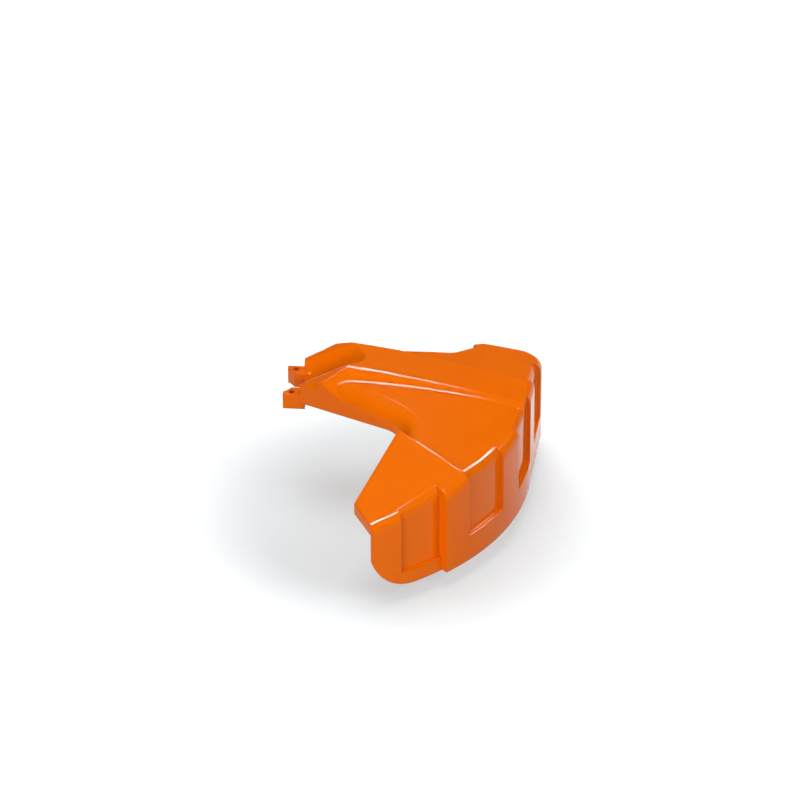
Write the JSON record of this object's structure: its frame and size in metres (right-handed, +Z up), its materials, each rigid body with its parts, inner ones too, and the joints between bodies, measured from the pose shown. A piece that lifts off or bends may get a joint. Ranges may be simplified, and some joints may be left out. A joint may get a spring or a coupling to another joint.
{
  "type": "trimmer blade guard",
  "caption": "Moulded guard for a line trimmer's head: a ribbed curved skirt on an arched neck, with mounting lugs and a steel line knife inside.",
  "frame": {"origin": "middle of the two mounting holes, on the lower faces of the lugs that rest on the gear head", "axes": "+X from the spindle outwards along the neck, +Y to the far end of the skirt, +Z up along the spindle"},
  "size_m": [0.2157, 0.2884, 0.1175],
  "materials": {
    "shell_plastic": "smooth glossy moulding",
    "knife_steel": "cut sheet",
    "screw_steel": "plated"
  },
  "bodies": {
    "root": {"guard_shell": "shell_plastic", "line_knife": "knife_steel", "knife_screws": "screw_steel"}
  },
  "joints": []
}
